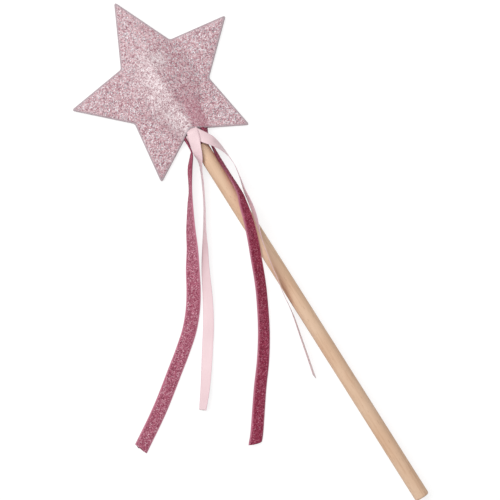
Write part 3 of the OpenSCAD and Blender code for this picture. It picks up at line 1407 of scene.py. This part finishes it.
@dataclass(frozen=True)
class Studio:
    """The floor, the soft light and the camera straight above, as the photograph was taken.

    A lamp's place is given in metres along the photograph's right, along its top and upwards.
    """

    image_right: Point
    aim: Point
    view_width: float
    height: float = 1.4
    sensor: float = 36.0
    floor_half: float = 2.5
    floor_steps: int = 41
    floor_drop: float = 0.3 * MM
    sweep_from: float = 1.6
    sweep_curve: float = 0.35
    side_place: Point = (-0.67, 0.0, 1.0)
    side_size: float = 0.6
    side_power: float = 5.2
    top_place: Point = (-0.25, 0.5, 1.1)
    top_size: float = 0.5
    top_power: float = 5.0
    ambient: float = 0.42

    def camera(self) -> None:
        """Hangs the camera over the aim, with the photograph's right along its own."""
        lens = bpy.data.cameras.new("camera")
        lens.sensor_width = self.sensor
        lens.lens = self.sensor * (self.height - self.aim[2]) / self.view_width
        eye = bpy.data.objects.new("camera", lens)
        eye.location = (self.aim[0], self.aim[1], self.height)
        eye.rotation_euler = (0, 0, math.atan2(self.image_right[1], self.image_right[0]))
        bpy.context.scene.collection.objects.link(eye)
        bpy.context.scene.camera = eye

    def floor(self) -> None:
        """Lays a wide sheet of paper that curves up far behind the object."""
        side = np.linspace(-self.floor_half, self.floor_half, self.floor_steps)
        x, y = np.meshgrid(side, side, indexing="ij")
        far = np.maximum(np.hypot(x, y) - self.sweep_from, 0)
        points = np.stack([x, y, self.sweep_curve * far ** 2 - self.floor_drop], axis=-1)
        faces = grid_faces(self.floor_steps, self.floor_steps, False, False).tolist()
        paper = piece("floor", points, faces, {})
        paper.data.materials.append(FloorPaper().make())

    def lamp(self, name: str, place: Point, size: float, power: float) -> None:
        """Sets a square softbox that faces the camera's aim.

        Args:
            name: The lamp's name.
            place: Where it stands, in the photograph's directions, in metres.
            size: Its side, in metres.
            power: Its power, in watts.
        """
        data = bpy.data.lights.new(name, "AREA")
        data.shape = "SQUARE"
        data.size = size
        data.energy = power
        box = bpy.data.objects.new(name, data)
        right = np.array(self.image_right)
        up = np.array([-right[1], right[0], 0])
        stand = place[0] * right + place[1] * up + np.array([0, 0, place[2]])
        gap = np.array(self.aim) - stand
        turn = math.atan2(gap[0], -gap[1])
        tip = math.atan2(math.hypot(gap[0], gap[1]), -gap[2])
        box.location = tuple(stand)
        box.rotation_euler = (tip, 0, turn + math.pi)
        bpy.context.scene.collection.objects.link(box)

    def light(self) -> None:
        """Sets a softbox at the photograph's left, one at its top and an even ambient."""
        self.lamp("side_box", self.side_place, self.side_size, self.side_power)
        self.lamp("top_box", self.top_place, self.top_size, self.top_power)
        world = bpy.data.worlds.new("studio")
        bpy.context.scene.world = world
        shader = Shader(world)
        ambient = shader.value("Background", 0, None, {"Color": WHITE, "Strength": self.ambient})
        seen = shader.value("Background", 0, None, {"Color": WHITE, "Strength": 1.0})
        shader.node("OutputWorld", None, {"Surface": shader.chosen(ambient, seen)})

    def set_up(self) -> None:
        """Sets camera, floor, light and plain colour handling."""
        self.camera()
        self.floor()
        self.light()
        bpy.context.scene.view_settings.view_transform = "Standard"


VELVET = RibbonStock(
    Cloth.VELVET, width=8.5 * MM, thick=0.9 * MM, edge_thick=0.3 * MM, edge_width=0.55 * MM,
    nap=0.035 * MM, step=0.5 * MM,
)
SATIN = RibbonStock(
    Cloth.SATIN, width=6.5 * MM, thick=0.3 * MM, edge_thick=0.24 * MM, edge_width=0.35 * MM,
    nap=0.0, step=0.6 * MM,
)

VELVET_LEFT = Route((
    (-5.9, 83.4, 5, -84), (-5.9, 79, 5.1, -87), (-6.4, 74.2, 5.2, -90), (-7.9, 71.8, 5.1, -80),
    (-13, 65.5, 4.8, -73), (-19, 55.5, 4.5, -79), (-25.5, 45.5, 4.3, -65), (-31.5, 35.5, 3.8, -50),
    (-37, 25, 3.2, -37), (-43, 15, 2, -18), (-49, 4.5, 1.2, -6), (-55.5, -5, 1, -4),
    (-63.5, -14, 0.9, -2), (-73, -22, 0.9, 0), (-83, -29.5, 0.9, 2), (-103.5, -44.5, 1, 3),
    (-125, -58, 1, 3),
))
VELVET_RIGHT = Route((
    (7.6, 82.4, 5.4, 62), (6.7, 78, 5.6, 80), (5.9, 71.5, 5.65, 86), (5.3, 64.2, 5.7, 80),
    (5.2, 58, 5.8, 80), (5.2, 50, 7.4, 80), (5.1, 43, 9.7, 76), (4.5, 36.5, 11, 67),
    (3, 31, 12.5, 55), (0.4, 21.5, 14.4, 48), (-3.1, 11.5, 15.1, 43), (-7.6, 0.5, 12.6, 41),
    (-12.6, -11.5, 8.4, 41), (-17.7, -22, 5.6, 40), (-26.3, -37.5, 4, 36), (-36, -52, 3.3, 32),
    (-47, -66, 3, 30), (-61, -85, 2.9, 28), (-66.3, -91.3, 2.9, 28),
))
SATIN_LEFT = Route((
    (0.7, 86.2, 10.3, 0), (0.5, 84.7, 11.4, 0), (0.2, 83, 12.2, 0), (-0.6, 80.5, 12.3, -4),
    (-1.8, 77.5, 12.1, -14), (-2.9, 74.2, 11.5, -27), (-3.6, 72, 11.1, -34), (-4.6, 69, 10, -48),
    (-5.9, 65.5, 7.7, -72), (-7.6, 61.5, 5.4, -80), (-10.9, 54.5, 3.7, -80), (-16.8, 43.5, 3.5, -80),
    (-24.5, 31, 3.5, -74), (-30.5, 21, 3.1, -57), (-36.5, 11, 2.7, -44), (-45, -5, 1.8, -25),
    (-52.5, -17.5, 1, -10), (-59, -27, 0.9, -8), (-72.5, -46, 2.1, -30), (-82, -58, 2.9, -50),
))
SATIN_RIGHT = Route((
    (-0.6, 86.2, 10.2, 0), (-0.3, 84.7, 11, 0), (0.4, 83, 11.5, 0), (2.6, 79.5, 11.5, 4),
    (5, 76, 11.2, 18), (7.2, 72.5, 10.6, 36), (9.3, 67.5, 8.6, 64), (10.6, 61, 6.6, 84),
    (10.8, 53.5, 6, 90), (9.5, 45.5, 6.8, 94), (7.8, 38, 8.6, 101), (7, 32, 10.5, 106),
    (6, 26, 12.2, 108), (4.5, 20, 13.5, 106), (2.7, 14, 14.3, 98), (1, 8, 14.7, 92),
    (-0.3, 2, 14.7, 90), (-1.5, -4, 14.6, 90), (-2.6, -10, 14.2, 90), (-3.5, -16, 13.7, 90),
    (-4.7, -22, 12.5, 90), (-5.7, -28, 10.5, 90), (-6.1, -32, 8, 89), (-6.5, -35, 5.6, 88),
    (-6.9, -37.5, 4, 86), (-7.5, -41, 3.6, 84), (-9.6, -50, 3.6, 82), (-13.1, -65, 3.6, 81),
    (-15.8, -76.3, 3.6, 80),
))


def tails() -> tuple[Ribbon, ...]:
    """The four ribbon tails, each from the neck to its cut end.

    Returns:
        The velvet pair and the satin pair.
    """
    return (
        Ribbon(
            "velvet_left_strip", "velvet left", VELVET, VELVET_LEFT, ("velvet_tail_left",),
            bend_from=(-0.0064, 0.078, 0.0052), bend_to=(-0.011, 0.068, 0.005),
            # The left tail takes the paler, lit copy of the pile: painted light past its root.
            cut_slant=-1.5 * MM, cut_ragged=0.25 * MM, laid=1.0, seed=11,
        ),
        Ribbon(
            "velvet_right_strip", "velvet right", VELVET, VELVET_RIGHT, ("velvet_tail_right",),
            bend_from=(0.0064, 0.068, 0.0057), bend_to=(0.0062, 0.058, 0.0058),
            cut_slant=3.0 * MM, cut_ragged=0.15 * MM, seed=12,
        ),
        Ribbon(
            "satin_left_strip", "satin left", SATIN, SATIN_LEFT, ("satin_lead_left", "satin_tail_left"),
            bend_from=(-0.0022, 0.0765, 0.0119), bend_to=(-0.0036, 0.072, 0.0111),
            crown=45.0, seed=13,
        ),
        Ribbon(
            "satin_right_strip", "satin right", SATIN, SATIN_RIGHT,
            ("satin_lead_right", "satin_tail_right"),
            bend_from=(-0.0065, -0.037, 0.0034), bend_to=(-0.0085, -0.045, 0.0036),
            crown=70.0, cut_slant=-3.0 * MM, seed=14,
        ),
    )


def main() -> None:
    """Builds the studio and every piece of the wand in order."""
    logging.basicConfig(level=logging.INFO, format="%(name)s: %(message)s")
    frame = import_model()
    record = frame["record"]
    mounts = {mount["name"]: mount for mount in record["mounts"]}
    stick_low, stick_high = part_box("dowel")
    handle = mounts["handle"]
    seat_y = handle["pos_m"][1] + handle["dims"]["length_mm"] * MM
    star_middle = tuple(mounts["star_back"]["pos_m"])
    front_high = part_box("star_front_panel")[1]

    studio = Studio(
        image_right=(0.8457, -0.5336, 0.0), aim=(-8.2 * MM, 6.8 * MM, 4 * MM), view_width=294 * MM
    )
    studio.set_up()

    velvet, satin = GlitterVelvet().make(), Satin().make()
    for tail in tails():
        tail.hang(velvet if tail.stock.cloth is Cloth.VELVET else satin)

    axis_z = handle["pos_m"][2]
    turn_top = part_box("satin_wrap")[1][1]
    NeckTurn(
        "velvet_turn", VELVET, "velvet_wrap",
        inner=4.35 * MM, middle_y=turn_top - VELVET.width / 2, axis_z=axis_z, wander=0.15 * MM,
    ).wind(velvet)
    NeckTurn(
        "satin_turn", SATIN, "satin_wrap",
        inner=5.3 * MM, middle_y=turn_top - SATIN.width / 2, axis_z=axis_z, wander=0.1 * MM,
    ).wind(satin)

    dowel = Dowel(
        radius=handle["dims"]["r_mm"] * MM,
        seat_radius=4.3 * MM,
        end_y=stick_low[1],
        seat_y=seat_y,
        top_y=stick_high[1],
        axis_z=axis_z,
        end_round=1.2 * MM,
    )
    dowel.seat(DowelWood().make())
    star = Star(
        middle=star_middle,
        tip_radius=front_high[1] - star_middle[1],
        notch_radius=28 * MM,
        tip_round=0.8 * MM,
        notch_round=2.0 * MM,
        fabric=0.8 * MM,
        core=1.4 * MM,
        pad_over=1.2 * MM,
        ridge_half=18 * MM,
        skin_half=23 * MM,
        neck_half=11 * MM,
        neck_run=26 * MM,
        pad_inset=3 * MM,
        slot_half=3.1 * MM,
        dowel=dowel,
    )
    felt = Matted(
        "core_felt", srgb(240, 230, 231), srgb(222, 206, 209), clump=1.2 * MM, depth=0.08 * MM
    )
    wadding = Matted(
        "wadding", srgb(247, 244, 242), srgb(232, 226, 224), clump=2.5 * MM, depth=0.3 * MM
    )
    star.make(GlitterFabric().make(), felt.make(), wadding.make())
    glue = Matted(
        "set_glue", srgb(236, 226, 200), srgb(218, 205, 172), clump=3 * MM, depth=0.1 * MM, gloss=0.6
    )
    dress(frame["nodes"]["dowel_glue"], glue.make())
    LOG.info("dowel_glue: kept as packed")


if __name__ == "__main__":
    main()
